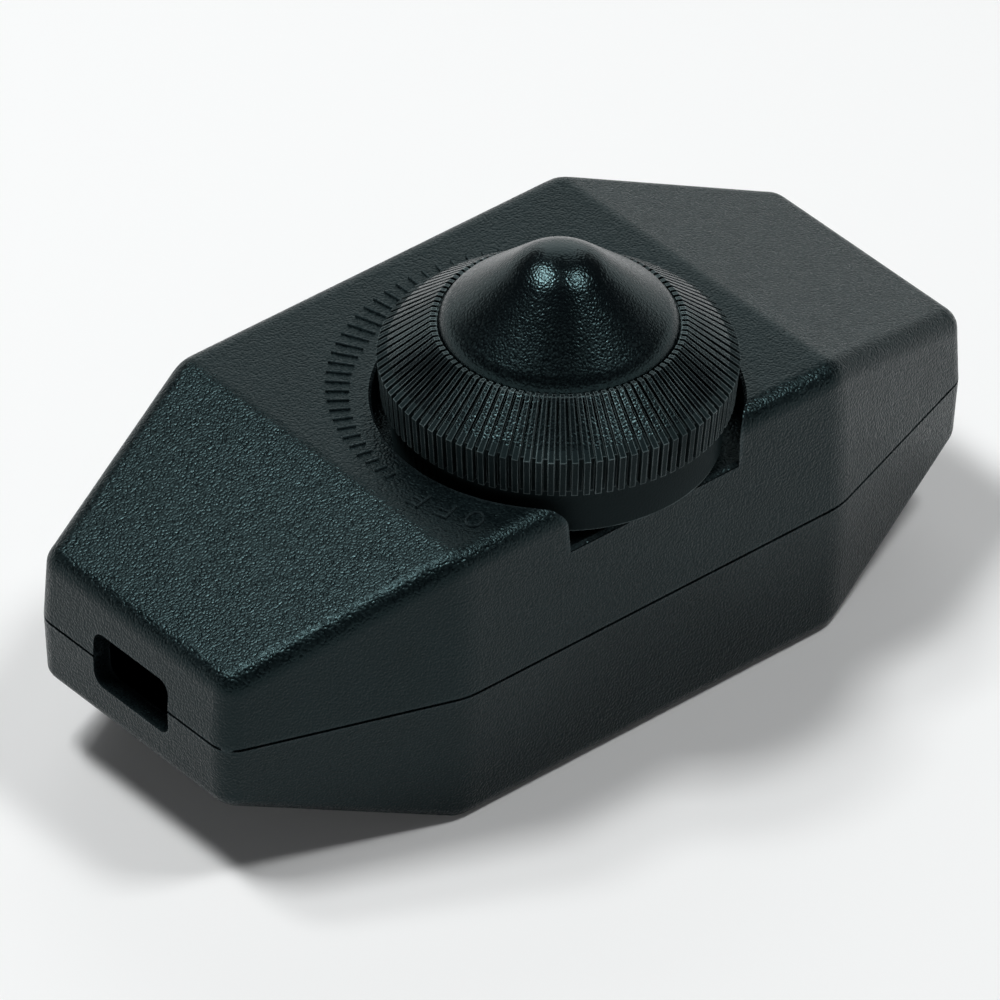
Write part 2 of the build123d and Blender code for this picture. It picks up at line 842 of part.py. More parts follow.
def make_triac_screw():
    x, y = triac_hole_place()
    seat = board_top + heatsink_thickness + triac_tab_thickness
    head = disc(triac_screw_head_radius, seat, seat + triac_screw_head_height, x, y)
    head = fillet(head.edges().sort_by(Axis.Z)[-1], triac_screw_head_height / 3)
    head -= block(2 * triac_screw_head_radius, slot_width, seat + triac_screw_head_height / 2, top, x, y)
    return head + disc(triac_screw_radius, board_foot - triac_nut_thickness - triac_screw_end, seat, x, y)


def make_triac_nut():
    x, y = triac_hole_place()
    nut = extrude(RegularPolygon(triac_nut_across_flats / 2, 6, major_radius=False), triac_nut_thickness)
    nut = Pos(x, y, board_foot - triac_nut_thickness) * nut
    return nut - disc(triac_screw_radius + thread_clearance, 0, board_foot, x, y)


def make_terminal_block(side):
    """Two pole block on the board, wire holes facing the cord inlet."""
    x = side * terminal_x
    body = block(block_length, block_width, board_top, board_top + block_height, x)
    body = chamfer(body.faces().sort_by(Axis.Z)[-1].edges().filter_by(Axis.Y), block_height / 10)
    head_bore = terminal_head_radius + terminal_head_clearance
    for y in (-pole_pitch / 2, pole_pitch / 2):
        body -= block(cage_length, cage_width, board_top, board_top + cage_height, x, y)
        body -= disc(head_bore, board_top, board_top + block_height, x, y)
        mouth = Pos(x + side * block_length / 2, y, board_top + wire_hole_height)
        body -= mouth * Rot(0, 90, 0) * Cylinder(wire_hole_radius, block_length)
    return body


def make_terminal_cages():
    """Brass boxes that hold the wire ends, each with a pin in the board."""
    cages = []
    for x, y in pole_places():
        high = board_top + cage_height - cage_clearance
        x_size = cage_length - 2 * cage_clearance
        cage = block(x_size, cage_width - 2 * cage_clearance, board_top, high, x, y)
        hole = Pos(x, y, board_top + wire_hole_height) * Rot(0, 90, 0)
        cage -= hole * Cylinder(wire_hole_radius, block_length)
        cage -= disc(terminal_screw_radius + thread_clearance, board_top + wire_hole_height, high, x, y)
        cages.append(cage + disc(2 * lead_radius, lead_end, board_top, x, y))
    return joined(cages)


def make_terminal_screws():
    screws = []
    for x, y in pole_places():
        high = board_top + block_height - terminal_head_sink
        head = disc(terminal_head_radius, high - terminal_head_height, high, x, y)
        head -= block(2 * terminal_head_radius, slot_width, high - terminal_head_height / 2, high, x, y)
        shank_foot = board_top + wire_hole_height + wire_hole_radius
        screws.append(head + disc(terminal_screw_radius, shank_foot, high - terminal_head_height, x, y))
    return joined(screws)


def pan_screw(place, seat, shank_size, head_size, up=1):
    """Pan head screw with a cross slot, sizes given as radius and length."""
    radius, shank = shank_size
    head_radius, head_height = head_size
    head = disc(head_radius, 0, head_height)
    head = fillet(head.edges().sort_by(Axis.Z)[-1], head_height / 3)
    slot = block(head_radius, head_radius / 4, head_height / 2, head_height)
    head -= slot + Rot(0, 0, 90) * slot
    point = Cone(radius / 3, radius, radius, align=(Align.CENTER, Align.CENTER, Align.MIN))
    screw = head + disc(radius, radius - shank, 0) + Pos(0, 0, -shank) * point
    if up < 0:
        screw = Rot(180, 0, 0) * screw
    return Pos(*place, seat) * screw


def make_housing_screws():
    """Four screws driven from below, with their heads deep in the pillars."""
    shank = (housing_screw_radius, housing_screw_length)
    head = (housing_head_radius, housing_head_height)
    places = four_corners(housing_screw_x, housing_screw_y)
    return joined(pan_screw(place, housing_head_depth, shank, head, up=-1) for place in places)


def make_board_screws():
    shank = (board_screw_radius, board_screw_length)
    head = (board_head_radius, board_head_height)
    return joined(pan_screw(place, board_top, shank, head) for place in four_corners(post_x, post_y))


def make_clamp_screws():
    seat = seam - clamp_seat_drop + clamp_thickness
    shank = (clamp_screw_radius, clamp_screw_length)
    head = (clamp_head_radius, clamp_head_height)
    places = four_corners(clamp_x, clamp_screw_spread)
    return joined(pan_screw(place, seat, shank, head) for place in places)


def make_cord_clamp(side):
    """Bar screwed down across the cord, with ribs that bite into the sheath."""
    x = side * clamp_x
    seat = seam - clamp_seat_drop
    bar_width = 2 * (clamp_screw_spread + clamp_head_radius)
    bar = block(clamp_length, bar_width, seat, seat + clamp_thickness, x)
    bar = fillet(bar.edges().filter_by(Axis.Z), clamp_length / 4)
    rib_pitch = clamp_length / clamp_rib_count
    for index in range(clamp_rib_count):
        rib_x = x - clamp_length / 2 + (index + 0.5) * rib_pitch
        bar += block(rib_pitch / 2, saddle_width - 2 * clamp_rib_height, seat - clamp_rib_height, seat, rib_x)
    for y in (-clamp_screw_spread, clamp_screw_spread):
        bar -= disc(clamp_screw_radius + screw_clearance, seat, seat + clamp_thickness, x, y)
    return bar


nodes = {
    "cover_shell": make_cover_shell,
    "base_shell": make_base_shell,
    "dimmer_knob": make_knob,
    "pot_shaft": make_pot_shaft,
    "pot_rotor": make_pot_rotor,
    "pot_wiper": make_pot_wiper,
    "pot_bushing": make_pot_bushing,
    "pot_washer": make_pot_washer,
    "pot_nut": make_pot_nut,
    "pot_track": make_pot_track,
    "pot_terminals": make_pot_terminals,
    "pot_can": make_pot_can,
    "mains_switch": make_switch_case,
    "circuit_board": make_circuit_board,
    "choke_core": make_choke_core,
    "choke_winding": make_choke_winding,
    "mains_capacitor": make_mains_capacitor,
    "timing_capacitor": make_timing_capacitor,
    "fuse": make_fuse,
    "resistors": make_resistors,
    "diac": make_diac,
    "triac": make_triac,
    "heatsink": make_heatsink,
    "triac_screw": make_triac_screw,
    "triac_nut": make_triac_nut,
    "input_terminal_block": lambda: make_terminal_block(-1),
    "output_terminal_block": lambda: make_terminal_block(1),
    "terminal_cages": make_terminal_cages,
    "terminal_screws": make_terminal_screws,
    "input_cord_clamp": lambda: make_cord_clamp(-1),
    "output_cord_clamp": lambda: make_cord_clamp(1),
    "clamp_screws": make_clamp_screws,
    "board_screws": make_board_screws,
    "housing_screws": make_housing_screws,
}

os.makedirs("parts", exist_ok=True)
for name, make in nodes.items():
    export_step(make(), f"parts/{name}.step")
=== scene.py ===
import math

import bmesh
import bpy
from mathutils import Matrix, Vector


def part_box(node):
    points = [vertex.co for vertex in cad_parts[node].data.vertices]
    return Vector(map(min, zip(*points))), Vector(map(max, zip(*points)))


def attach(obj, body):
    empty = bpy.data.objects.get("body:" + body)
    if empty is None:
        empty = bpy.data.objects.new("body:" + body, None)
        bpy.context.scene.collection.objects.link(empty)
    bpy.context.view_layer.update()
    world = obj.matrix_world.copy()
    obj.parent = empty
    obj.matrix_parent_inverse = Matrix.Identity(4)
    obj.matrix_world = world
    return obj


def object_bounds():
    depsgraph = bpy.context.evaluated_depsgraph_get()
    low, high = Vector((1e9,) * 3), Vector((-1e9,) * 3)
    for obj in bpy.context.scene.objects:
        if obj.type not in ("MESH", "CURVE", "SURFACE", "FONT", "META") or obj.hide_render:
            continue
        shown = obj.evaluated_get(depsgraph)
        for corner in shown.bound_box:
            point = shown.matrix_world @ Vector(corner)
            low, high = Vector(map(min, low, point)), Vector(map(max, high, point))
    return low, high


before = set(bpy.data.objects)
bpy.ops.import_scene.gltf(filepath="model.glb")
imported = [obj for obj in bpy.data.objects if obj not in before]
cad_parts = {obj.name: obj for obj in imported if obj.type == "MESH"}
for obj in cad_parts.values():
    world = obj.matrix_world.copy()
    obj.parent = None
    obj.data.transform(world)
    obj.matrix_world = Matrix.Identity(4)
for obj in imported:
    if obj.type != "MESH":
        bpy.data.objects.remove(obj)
cad_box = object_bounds()


# Base shell: the lower half of the housing, one injection moulding in black ABS. The mould was
# spark eroded, which leaves a fine even grain on the outside, and handling polishes the edges a
# little. Their lighter colour is partly that wear and partly a painted highlight.

class Finish:
    """One surface, built up from its bare colour in the order in which the real one is made."""

    def __init__(self, name, colour, roughness, metallic=0.0):
        self.material = bpy.data.materials.new(name)
        self.material.use_nodes = True
        self.tree = self.material.node_tree
        self.shader = self.tree.nodes["Principled BSDF"]
        self.colour = (*colour, 1.0)
        self.roughness = roughness
        self.set("Base Color", self.colour)
        self.set("Roughness", roughness)
        self.set("Metallic", metallic)
        self.place = self.add("ShaderNodeTexCoord").outputs["Object"]
        self.relief = None

    def set(self, socket, value):
        """Constant value on the shader's own socket."""
        self.shader.inputs[socket].default_value = value
        return self

    def add(self, kind, **settings):
        """New node with its settings."""
        node = self.tree.nodes.new(kind)
        for key, value in settings.items():
            setattr(node, key, value)
        return node

    def feed(self, node, **values):
        """Values or sources for a node's inputs; underscores stand for spaces in their names."""
        for key, value in values.items():
            socket = node.inputs[key.replace("_", " ")]
            if isinstance(value, bpy.types.NodeSocket):
                self.tree.links.new(value, socket)
            else:
                socket.default_value = value
        return node

    def noise(self, size, detail=2.0, stretch=(1.0, 1.0, 1.0)):
        """Noise with blotches of about size metres, longer along an axis with a stretch under 1."""
        spread = self.feed(self.add("ShaderNodeMapping"), Vector=self.place, Scale=stretch)
        noise = self.add("ShaderNodeTexNoise")
        self.feed(noise, Vector=spread.outputs["Vector"], Scale=1.0 / size, Detail=detail)
        return noise.outputs["Fac"]

    def ranged(self, source, low, high, from_low=0.3, from_high=0.7):
        """Source stretched to run from low to high."""
        node = self.add("ShaderNodeMapRange")
        self.feed(node, Value=source, From_Min=from_low, From_Max=from_high)
        self.feed(node, To_Min=low, To_Max=high)
        return node.outputs["Result"]

    def blend_colour(self, factor, colour):
        """Colour laid over what the surface has so far."""
        mix = self.add("ShaderNodeMix", data_type="RGBA")
        below = self.shader.inputs["Base Color"]
        first = below.links[0].from_socket if below.links else self.colour
        base, over = [socket for socket in mix.inputs if socket.type == "RGBA"]
        if isinstance(first, bpy.types.NodeSocket):
            self.tree.links.new(first, base)
        else:
            base.default_value = first
        over.default_value = (*colour, 1.0)
        self.tree.links.new(factor, mix.inputs["Factor"])
        result = [socket for socket in mix.outputs if socket.type == "RGBA"][0]
        self.tree.links.new(result, below)
        return self

    def blend_roughness(self, factor, roughness):
        """Roughness laid over what the surface has so far."""
        mix = self.add("ShaderNodeMix", data_type="FLOAT")
        below = self.shader.inputs["Roughness"]
        first = below.links[0].from_socket if below.links else self.roughness
        self.feed(mix, A=first, B=roughness, Factor=factor)
        self.tree.links.new(mix.outputs["Result"], below)
        return self

    def clouds(self, size, colour, share=1.0):
        """Soft change of colour over the surface."""
        return self.blend_colour(self.ranged(self.noise(size), 0.0, share), colour)

    def gloss_patches(self, size, roughness, stretch=(1.0, 1.0, 1.0)):
        """Soft change of gloss over the surface."""
        patches = self.ranged(self.noise(size, 3.0, stretch), 0.0, 1.0)
        return self.blend_roughness(patches, roughness)

    def emboss(self, height, depth):
        """Relief of a given depth in metres, on top of any relief that is there."""
        bump = self.feed(self.add("ShaderNodeBump"), Height=height, Distance=depth, Strength=1.0)
        if self.relief:
            self.tree.links.new(self.relief, bump.inputs["Normal"])
        self.relief = bump.outputs["Normal"]
        self.tree.links.new(self.relief, self.shader.inputs["Normal"])
        return self

    def grain(self, size, depth, detail=2.0, stretch=(1.0, 1.0, 1.0)):
        """Fine relief from the mould or the tool."""
        return self.emboss(self.noise(size, detail, stretch), depth)

    def edges(self, reach):
        """Mask that is 1 on outer and inner edges and 0 on flats."""
        bevel = self.feed(self.add("ShaderNodeBevel", samples=4), Radius=reach)
        flat = self.add("ShaderNodeNewGeometry").outputs["Normal"]
        dot = self.add("ShaderNodeVectorMath", operation="DOT_PRODUCT")
        self.tree.links.new(bevel.outputs["Normal"], dot.inputs[0])
        self.tree.links.new(flat, dot.inputs[1])
        return self.ranged(dot.outputs["Value"], 1.0, 0.0, 0.93, 0.995)

    def edge_wear_and_highlight(self, reach, colour, roughness, share=0.6):
        """Lighter, smoother edges in patches: wear, and painted highlight on housing and knob."""
        patches = self.ranged(self.noise(0.004, 3.0), 0.2, 1.0)
        mask = self.add("ShaderNodeMath", operation="MULTIPLY")
        self.tree.links.new(self.edges(reach), mask.inputs[0])
        self.tree.links.new(patches, mask.inputs[1])
        mask = self.ranged(mask.outputs["Value"], 0.0, share, 0.0, 1.0)
        return self.blend_colour(mask, colour).blend_roughness(mask, roughness)

    def on(self, *names):
        """Put the surface on CAD nodes."""
        for name in names:
            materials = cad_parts[name].data.materials
            materials.clear()
            materials.append(self.material)
        return self


housing_sheen = (0.62, 0.95, 1.0, 1.0)
mould_grain = 0.00023
housing = Finish("housing_plastic", (0.0013, 0.0022, 0.0027), 0.14)
housing.set("Specular IOR Level", 0.24)
housing.set("Specular Tint", housing_sheen)
housing.clouds(0.006, (0.0024, 0.0040, 0.0048))
housing.gloss_patches(0.0015, 0.24)
housing.gloss_patches(mould_grain, 0.50)
housing.grain(mould_grain, 0.000072, 0.0)
# Edges: smoother from handling, and a lighter colour that is partly wear, partly painted highlight.
housing.edge_wear_and_highlight(0.0006, (0.022, 0.029, 0.032), 0.15, 0.85)
housing.on("base_shell")


# Circuit board: brown phenolic paper laminate, 1.6 mm, sawn and drilled. It lies on four posts of
# the base shell and carries everything electrical apart from the potentiometer's metal front.

board = Finish("board_laminate", (0.30, 0.17, 0.065), 0.48)
board.clouds(0.0022, (0.36, 0.21, 0.09))
board.clouds(0.00035, (0.24, 0.13, 0.045), 0.6)
board.grain(0.00025, 0.000004, stretch=(0.25, 1.0, 1.0))
board.edge_wear_and_highlight(0.0003, (0.46, 0.31, 0.17), 0.7)
board.on("circuit_board")


# Choke: a pressed iron powder ring, painted yellow, with 20 turns of enamelled copper wire wound
# through it. It keeps the switching noise of the dimmer off the mains.

core_paint = Finish("iron_powder", (0.62, 0.44, 0.05), 0.42)
core_paint.clouds(0.0012, (0.55, 0.36, 0.04))
core_paint.grain(0.00018, 0.000012, 4.0)
core_paint.edge_wear_and_highlight(0.0003, (0.12, 0.11, 0.10), 0.6)
core_paint.on("choke_core")

wire_copper = Finish("enamelled_wire", (0.55, 0.17, 0.055), 0.26, 0.85)
wire_copper.clouds(0.0018, (0.42, 0.11, 0.035))
wire_copper.grain(0.0004, 0.000006)
wire_copper.edge_wear_and_highlight(0.0002, (0.80, 0.42, 0.22), 0.22, 0.7)
wire_copper.on("choke_winding")


# Capacitors: two boxes of polyester film cast in resin, the large one across the mains and the
# small one for the timing. Their wires go through the board and are soldered below.

def resin_box(name, colour, darker):
    """Glossy cast resin, lighter where its edges are rubbed."""
    box = Finish(name, colour, 0.34)
    box.clouds(0.0025, darker)
    box.gloss_patches(0.0009, 0.46)
    box.grain(0.0005, 0.000006, 3.0)
    box.edge_wear_and_highlight(0.0003, tuple(1.35 * part for part in colour), 0.28)
    return box


resin_box("mains_cap_box", (0.66, 0.60, 0.40), (0.58, 0.51, 0.33)).on("mains_capacitor")
resin_box("timing_cap_box", (0.42, 0.035, 0.025), (0.34, 0.025, 0.018)).on("timing_capacitor")


# Fuse: a round subminiature fuse in a dark brown moulded cap. It stands on the board, soldered in
# the mains line, and blows if the lamp or its cord shorts.

fuse_cap = Finish("fuse_case", (0.060, 0.030, 0.018), 0.36)
fuse_cap.clouds(0.002, (0.045, 0.022, 0.013))
fuse_cap.grain(0.00022, 0.000006)
fuse_cap.edge_wear_and_highlight(0.0003, (0.13, 0.08, 0.05), 0.3)
fuse_cap.on("fuse")


# Resistors: two carbon film resistors that stand upright, lacquered beige. Coloured rings for the
# value go round the body, and the upper wire is bent over and back down to the board.

def height_between(finish, low, high):
    """Mask that is 1 between two levels of the object."""
    level = finish.feed(finish.add("ShaderNodeSeparateXYZ"), Vector=finish.place).outputs["Z"]
    above = finish.add("ShaderNodeMath", operation="GREATER_THAN")
    below = finish.add("ShaderNodeMath", operation="LESS_THAN")
    both = finish.add("ShaderNodeMath", operation="MULTIPLY")
    for test, limit in ((above, low), (below, high)):
        finish.tree.links.new(level, test.inputs[0])
        test.inputs[1].default_value = limit
    finish.tree.links.new(above.outputs["Value"], both.inputs[0])
    finish.tree.links.new(below.outputs["Value"], both.inputs[1])
    return both.outputs["Value"]


wire_below_body = 0.0013
body_height = 0.0063
body_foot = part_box("circuit_board")[1].z + wire_below_body
first_ring = 0.20 * body_height
ring_pitch = 0.17 * body_height
ring_height = 0.0006
ring_colours = [(0.35, 0.12, 0.02), (0.01, 0.01, 0.01), (0.70, 0.10, 0.01), (0.55, 0.36, 0.05)]
lacquer = Finish("resistor_lacquer", (0.62, 0.46, 0.27), 0.30)
lacquer.clouds(0.001, (0.55, 0.39, 0.22))
for index, ring_colour in enumerate(ring_colours):
    ring_low = body_foot + first_ring + index * ring_pitch
    lacquer.blend_colour(height_between(lacquer, ring_low, ring_low + ring_height), ring_colour)
lacquer.grain(0.0003, 0.000005)
lacquer.edge_wear_and_highlight(0.00015, (0.72, 0.60, 0.44), 0.28, 0.4)
lacquer.on("resistors")


# Diac: the trigger diode, a small glass tube with two wires, lying beside the input terminals.
# The wires are bent down and soldered in the board.

glass_body = Finish("diac_glass", (0.03, 0.07, 0.16), 0.12)
glass_body.set("Coat Weight", 0.6)
glass_body.clouds(0.0009, (0.05, 0.10, 0.22))
glass_body.grain(0.0006, 0.000003)
glass_body.on("diac")


# Triac on its heatsink: the power part is black epoxy moulded over a tinned copper tab. A steel
# screw and nut clamp it, the bent aluminium sheet and the board together.

epoxy = Finish("triac_case", (0.014, 0.014, 0.015), 0.42)
epoxy.clouds(0.002, (0.020, 0.020, 0.021))
epoxy.grain(0.00012, 0.000006, 3.0)
epoxy.edge_wear_and_highlight(0.0002, (0.06, 0.06, 0.06), 0.3)
epoxy.on("triac")

sheet_aluminium = Finish("sink_aluminium", (0.72, 0.73, 0.74), 0.34, 1.0)
sheet_aluminium.gloss_patches(0.0012, 0.46, (0.08, 1.0, 1.0))
sheet_aluminium.grain(0.0002, 0.000003, 2.0, (0.06, 1.0, 1.0))
sheet_aluminium.edge_wear_and_highlight(0.0002, (0.85, 0.85, 0.86), 0.22)
sheet_aluminium.on("heatsink")

zinc = Finish("zinc_steel", (0.60, 0.61, 0.62), 0.30, 1.0)
zinc.clouds(0.0014, (0.50, 0.50, 0.47))
zinc.gloss_patches(0.0007, 0.42)
zinc.grain(0.0003, 0.000004)
zinc.edge_wear_and_highlight(0.00015, (0.72, 0.72, 0.73), 0.2)
zinc.on("triac_screw", "triac_nut", "pot_washer")


# Terminal blocks: two grey-green polyamide bodies, one for the mains side and one for the lamp
# side. Each holds two brass cages, and the screw above a cage presses the bare wire end into it.

polyamide = Finish("terminal_plastic", (0.10, 0.19, 0.13), 0.44)
polyamide.clouds(0.0018, (0.085, 0.165, 0.11))
polyamide.grain(0.0002, 0.000007)
polyamide.edge_wear_and_highlight(0.0003, (0.17, 0.29, 0.20), 0.36)
polyamide.on("input_terminal_block", "output_terminal_block")

brass = Finish("contact_brass", (0.72, 0.50, 0.20), 0.28, 1.0)
brass.clouds(0.0012, (0.55, 0.35, 0.12))
brass.gloss_patches(0.0006, 0.44)
brass.grain(0.0003, 0.000004, 2.0, (0.2, 1.0, 1.0))
brass.edge_wear_and_highlight(0.00015, (0.85, 0.66, 0.34), 0.2)
brass.on("terminal_cages", "pot_wiper", "pot_terminals")

zinc.on("terminal_screws")


# Board screws: four self-tapping steel screws, zinc plated, which hold the board down on its
# posts.

zinc.on("board_screws")


# Potentiometer: a carbon track on a round card, closed by a pressed steel can. Its turned brass
# sleeve passes up through the floor of the well, where a washer and a nut clamp it under the
# knob.

track_card = Finish("track_card", (0.17, 0.085, 0.035), 0.52)
track_card.clouds(0.0015, (0.13, 0.065, 0.028))
track_card.grain(0.0002, 0.000005)
track_card.edge_wear_and_highlight(0.0002, (0.26, 0.16, 0.08), 0.6)
track_card.on("pot_track")

pressed_steel = Finish("can_steel", (0.52, 0.53, 0.54), 0.34, 1.0)
pressed_steel.clouds(0.003, (0.44, 0.45, 0.45))
pressed_steel.gloss_patches(0.001, 0.5)
pressed_steel.grain(0.0005, 0.000005)
pressed_steel.edge_wear_and_highlight(0.0003, (0.66, 0.66, 0.67), 0.24)
pressed_steel.on("pot_can")

turned_brass = Finish("bushing_brass", (0.70, 0.49, 0.21), 0.26, 1.0)
turned_brass.clouds(0.002, (0.58, 0.38, 0.14))
turned_brass.grain(0.00045, 0.000016, 1.0, (0.02, 0.02, 1.0))
turned_brass.edge_wear_and_highlight(0.0002, (0.85, 0.67, 0.36), 0.2)
turned_brass.on("pot_bushing", "pot_nut")


# Turning parts of the potentiometer: a white polyamide shaft with a flat for the knob, and the
# brown rotor that carries the two-fingered wiper round the track.

shaft_nylon = Finish("shaft_plastic", (0.74, 0.73, 0.69), 0.36)
shaft_nylon.clouds(0.002, (0.68, 0.66, 0.60))
shaft_nylon.grain(0.0003, 0.000005, 2.0, (1.0, 1.0, 0.1))
shaft_nylon.edge_wear_and_highlight(0.0002, (0.80, 0.79, 0.76), 0.28)
shaft_nylon.on("pot_shaft")

rotor_resin = Finish("rotor_plastic", (0.11, 0.045, 0.022), 0.42)
rotor_resin.clouds(0.0016, (0.085, 0.035, 0.018))
rotor_resin.grain(0.0002, 0.000006)
rotor_resin.edge_wear_and_highlight(0.0002, (0.19, 0.10, 0.06), 0.34)
rotor_resin.on("pot_rotor")


# Mains switch: a sealed case of dark phenolic resin behind the potentiometer. The spindle's end
# works it in the first part of the turn.

phenolic = Finish("switch_plastic", (0.030, 0.022, 0.018), 0.38)
phenolic.clouds(0.002, (0.042, 0.030, 0.024))
phenolic.grain(0.00018, 0.000007, 3.0)
phenolic.edge_wear_and_highlight(0.0003, (0.10, 0.075, 0.06), 0.3)
phenolic.on("mains_switch")


# Cord clamps: two polyamide bars with ribs on their undersides, each drawn down across the cord's
# sheath by two screws.

clamp_plastic = Finish("clamp_plastic", (0.020, 0.021, 0.022), 0.44)
clamp_plastic.clouds(0.002, (0.028, 0.029, 0.030))
clamp_plastic.grain(0.0002, 0.000008)
clamp_plastic.edge_wear_and_highlight(0.0003, (0.07, 0.072, 0.074), 0.36)
clamp_plastic.on("input_cord_clamp", "output_cord_clamp")

zinc.on("clamp_screws")


# Cover shell: the upper half of the housing, moulded in the same grained black ABS as the base.
# The round well for the knob was cut into its mould, and a slide closed it at the near wall.

housing.on("cover_shell")


# Dial on the cover: fine raised lines, engraved in the mould, which grow longer as the light gets
# brighter, and the word OFF at the start of the knob's turn.

ridge_section = [(-0.5, -0.3), (-0.42, 0.55), (-0.2, 1.0), (0.2, 1.0), (0.42, 0.55), (0.5, -0.3)]


def raised_stroke(mesh, points, level, width, height, closed=False):
    """Rounded ridge of the given width along points on the flat top."""
    count = len(points)
    rings = []
    for index, point in enumerate(points):
        before = points[index - 1] if closed or index > 0 else point
        after = points[(index + 1) % count] if closed or index < count - 1 else point
        along = Vector((after[0] - before[0], after[1] - before[1])).normalized()
        across = Vector((-along.y, along.x))
        ring = []
        for side, rise in ridge_section:
            at = Vector((point[0], point[1])) + across * side * width
            ring.append(mesh.verts.new((at.x, at.y, level + rise * height)))
        rings.append(ring)
    pairs = list(zip(rings, rings[1:] + rings[:1])) if closed else list(zip(rings, rings[1:]))
    for first, second in pairs:
        for low in range(len(first) - 1):
            mesh.faces.new((first[low], first[low + 1], second[low + 1], second[low]))
        mesh.faces.new((first[-1], first[0], second[0], second[-1]))
    if not closed:
        mesh.faces.new(rings[0][::-1])
        mesh.faces.new(rings[-1])


def finish_piece(name, mesh, material, body):
    """Object from a mesh, riding on a body."""
    bmesh.ops.recalc_face_normals(mesh, faces=mesh.faces)
    data = bpy.data.meshes.new(name)
    mesh.to_mesh(data)
    mesh.free()
    data.materials.append(material)
    piece = bpy.data.objects.new(name, data)
    bpy.context.scene.collection.objects.link(piece)
    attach(piece, body)


top_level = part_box("cover_shell")[1].z
knob_low, knob_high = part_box("dimmer_knob")
knob_axis = Vector(((knob_low.x + knob_high.x) / 2, (knob_low.y + knob_high.y) / 2))


def dial_point(radius, angle):
    """Point on the flat top at a radius and an angle about the knob."""
    turn = math.radians(angle)
    return (knob_axis.x + radius * math.cos(turn), knob_axis.y + radius * math.sin(turn))


mark_width = 0.00024
mark_height = 0.00020
first_mark_angle = 179.0
mark_step = 4.0
mark_count = 33
mark_foot_radius = 0.0191
mark_shortest = 0.0012
mark_growth = 0.000098

marks = bmesh.new()
for index in range(mark_count):
    angle = first_mark_angle - index * mark_step
    tip_radius = mark_foot_radius + mark_shortest + index * mark_growth
    ends = [dial_point(mark_foot_radius, angle), dial_point(tip_radius, angle)]
    raised_stroke(marks, ends, top_level, mark_width, mark_height)
finish_piece("dial_marks", marks, housing.material, "housing")

letter_radius = 0.02045
letter_height = 0.00215
letter_width = 0.00150
letter_stroke = 0.00030
round_letter_angle = -152.2
barred_letter_angles = (-160.6, -168.8)
bars = (((-0.4, -0.5), (-0.4, 0.5)), ((-0.4, 0.43), (0.5, 0.43)), ((-0.4, 0.0), (0.35, 0.0)))
curve_steps = 20


def letter_point(angle, side, rise):
    """Point of a letter with its top away from the knob; side and rise run from -0.5 to 0.5."""
    turn = math.radians(angle)
    outward = Vector((math.cos(turn), math.sin(turn)))
    rightward = Vector((math.sin(turn), -math.cos(turn)))
    at = knob_axis + outward * (letter_radius + rise * letter_height)
    at += rightward * side * letter_width
    return (at.x, at.y)


letters = bmesh.new()
loop = []
for step in range(curve_steps):
    swing = 2 * math.pi * step / curve_steps
    loop.append(letter_point(round_letter_angle, 0.5 * math.cos(swing), 0.5 * math.sin(swing)))
raised_stroke(letters, loop, top_level, letter_stroke, mark_height, closed=True)
for angle in barred_letter_angles:
    for start, end in bars:
        ends = [letter_point(angle, *start), letter_point(angle, *end)]
        raised_stroke(letters, ends, top_level, letter_stroke, mark_height)
finish_piece("off_word", letters, housing.material, "housing")


# Knob: one hollow moulding in black ABS, with sharp ribs for the fingers and a dome in a finer
# grain than the housing. Fingers polish its nose, its ribs stay matt, and its hub is pushed on
# the shaft.

skirt_top = knob_low.z + 0.0095
cone_top = knob_low.z + 0.0126
nose_foot = knob_high.z - 0.006
nose_cap = knob_high.z - 0.001
dome_grain = 0.00021
knob_finish = Finish("knob_plastic", (0.0006, 0.0009, 0.0012), 0.17)
knob_finish.set("Specular IOR Level", 0.32)
knob_finish.set("Specular Tint", housing_sheen)
knob_finish.clouds(0.005, (0.0018, 0.0024, 0.0032))
knob_finish.gloss_patches(dome_grain, 0.40)
knob_finish.blend_roughness(height_between(knob_finish, knob_low.z, skirt_top), 0.85)
knob_finish.blend_roughness(height_between(knob_finish, skirt_top, cone_top), 0.26)
knob_level = knob_finish.add("ShaderNodeSeparateXYZ")
knob_finish.feed(knob_level, Vector=knob_finish.place)
polished_nose = knob_finish.ranged(knob_level.outputs["Z"], 0.0, 0.8, nose_foot, nose_cap)
knob_finish.blend_roughness(polished_nose, 0.20)
knob_finish.grain(dome_grain, 0.000034, 0.0)
# Rib edges: a painted highlight, a colour far lighter than the knob's black, on smoother rubbed
# edges.
knob_finish.edge_wear_and_highlight(0.00017, (0.150, 0.180, 0.185), 0.20, 0.9)
knob_finish.on("dimmer_knob")


# Housing screws: four self-tapping steel screws driven up from below, with their heads deep in
# the pillars of the base, so that they hold the two shells together out of sight.

zinc.on("housing_screws")


# Floor: a pale matt table top, wide enough to reach past the view from every side. The object
# stands on it and throws its shadow there.

floor_half = 3.0
floor_mesh = bmesh.new()
bmesh.ops.create_grid(floor_mesh, x_segments=1, y_segments=1, size=floor_half)
floor_data = bpy.data.meshes.new("floor")
floor_mesh.to_mesh(floor_data)
floor_mesh.free()
floor_finish = Finish("floor_white", (0.955, 0.87, 0.87), 0.9)
floor_finish.set("Specular IOR Level", 0.0)
floor_data.materials.append(floor_finish.material)
floor = bpy.data.objects.new("floor", floor_data)
floor.location.z = cad_box[0][2]
bpy.context.scene.collection.objects.link(floor)


# Light: three softboxes, high on the left, on the right and at the side, and a wide dim panel
# behind the object. The room is a white sweep near the horizon and grows dark above it.

target = Vector((-0.000733, 0.000115, 0.014231))
lamp_colour = (0.90, 1.0, 1.0)


def direction(azimuth, elevation):
    """Unit vector from the object, azimuth from +X towards +Y."""
    turn = math.radians(azimuth)
    rise = math.radians(elevation)
    level = math.cos(rise)
    return Vector((math.cos(turn) * level, math.sin(turn) * level, math.sin(rise)))


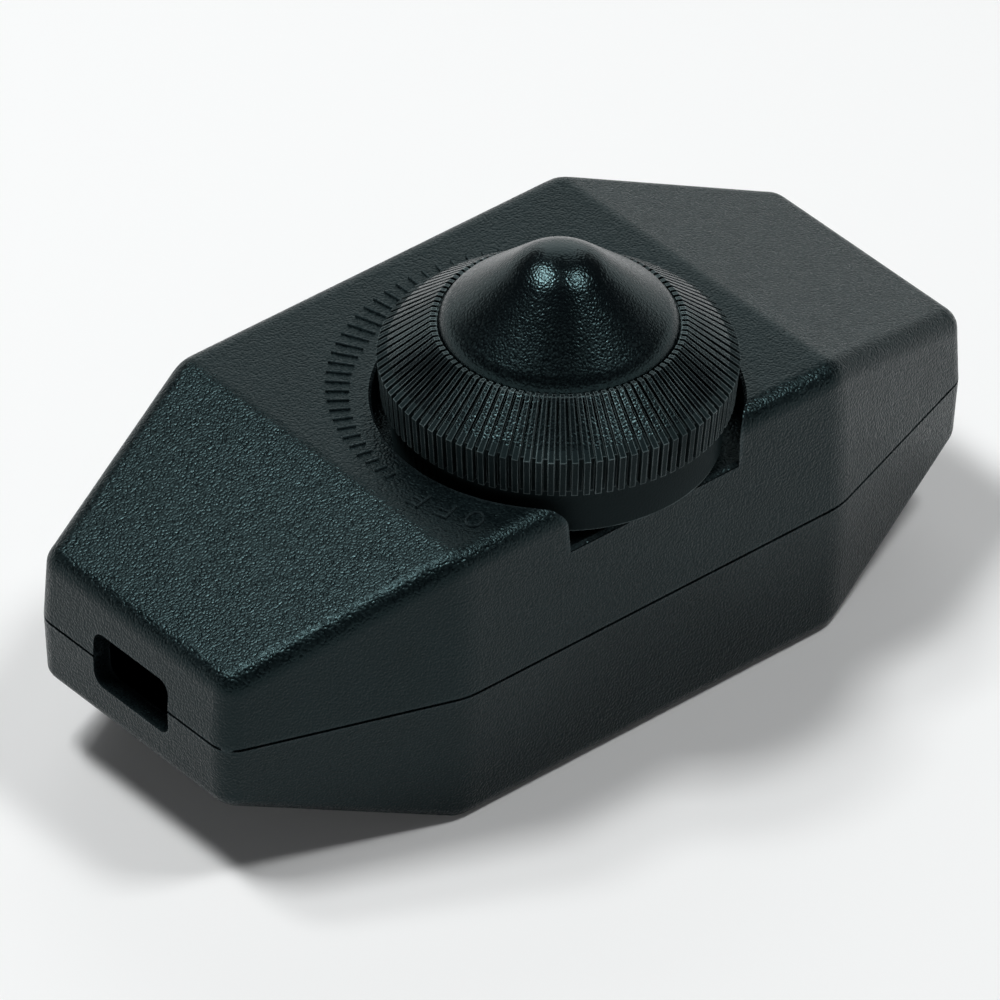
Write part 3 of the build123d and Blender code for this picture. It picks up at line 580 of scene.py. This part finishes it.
def softbox(name, azimuth, elevation, distance, width, height, power):
    """Area lamp that faces the object."""
    lamp = bpy.data.lights.new(name, "AREA")
    lamp.color = lamp_colour
    lamp.shape = "RECTANGLE"
    lamp.size = width
    lamp.size_y = height
    lamp.energy = power
    holder = bpy.data.objects.new(name, lamp)
    holder.location = target + direction(azimuth, elevation) * distance
    holder.rotation_euler = direction(azimuth, elevation).to_track_quat("Z", "Y").to_euler()
    holder.visible_camera = False
    bpy.context.scene.collection.objects.link(holder)


softbox("left_softbox", 137.0, 71.0, 0.7, 0.15, 0.12, 2.40)
softbox("right_softbox", -41.0, 66.0, 0.7, 0.16, 0.13, 1.75)
softbox("side_softbox", 108.0, 63.0, 0.7, 0.10, 0.10, 0.95)
softbox("back_panel", 47.0, 34.0, 1.0, 0.62, 0.62, 1.40)

room = bpy.data.worlds.new("room")
room.use_nodes = True
sky = room.node_tree
sky_place = sky.nodes.new("ShaderNodeTexCoord")
sky_level = sky.nodes.new("ShaderNodeSeparateXYZ")
sky_ramp = sky.nodes.new("ShaderNodeValToRGB")
sky.links.new(sky_place.outputs["Generated"], sky_level.inputs["Vector"])
sky.links.new(sky_level.outputs["Z"], sky_ramp.inputs["Fac"])
sky.links.new(sky_ramp.outputs["Color"], sky.nodes["Background"].inputs["Color"])
sweep_top, dark_above = sky_ramp.color_ramp.elements
sweep_top.position = math.sin(math.radians(12.0))
sweep_top.color = (*lamp_colour, 1.0)
dark_above.position = math.sin(math.radians(20.0))
dark_above.color = (0.02, 0.022, 0.024, 1.0)
bpy.context.scene.world = room


# Camera: a long lens, high on the left in front of the object, held level to within a degree. It
# is aimed at the middle of the housing.

camera_azimuth = -41.0399
camera_elevation = 37.2160
camera_roll = 0.8981
camera_distance = 1.1960167
lens_length = 465.147
film_width = 36.0

back_to_camera = direction(camera_azimuth - 90.0, camera_elevation)
camera_data = bpy.data.cameras.new("camera")
camera_data.sensor_width = film_width
camera_data.lens = lens_length
camera = bpy.data.objects.new("camera", camera_data)
camera.location = target + back_to_camera * camera_distance
facing = back_to_camera.to_track_quat("Z", "Y")
camera.rotation_euler = facing.to_euler()
camera.rotation_euler.rotate_axis("Z", math.radians(camera_roll))
bpy.context.scene.collection.objects.link(camera)
bpy.context.scene.camera = camera
bpy.context.scene.view_settings.view_transform = "Standard"
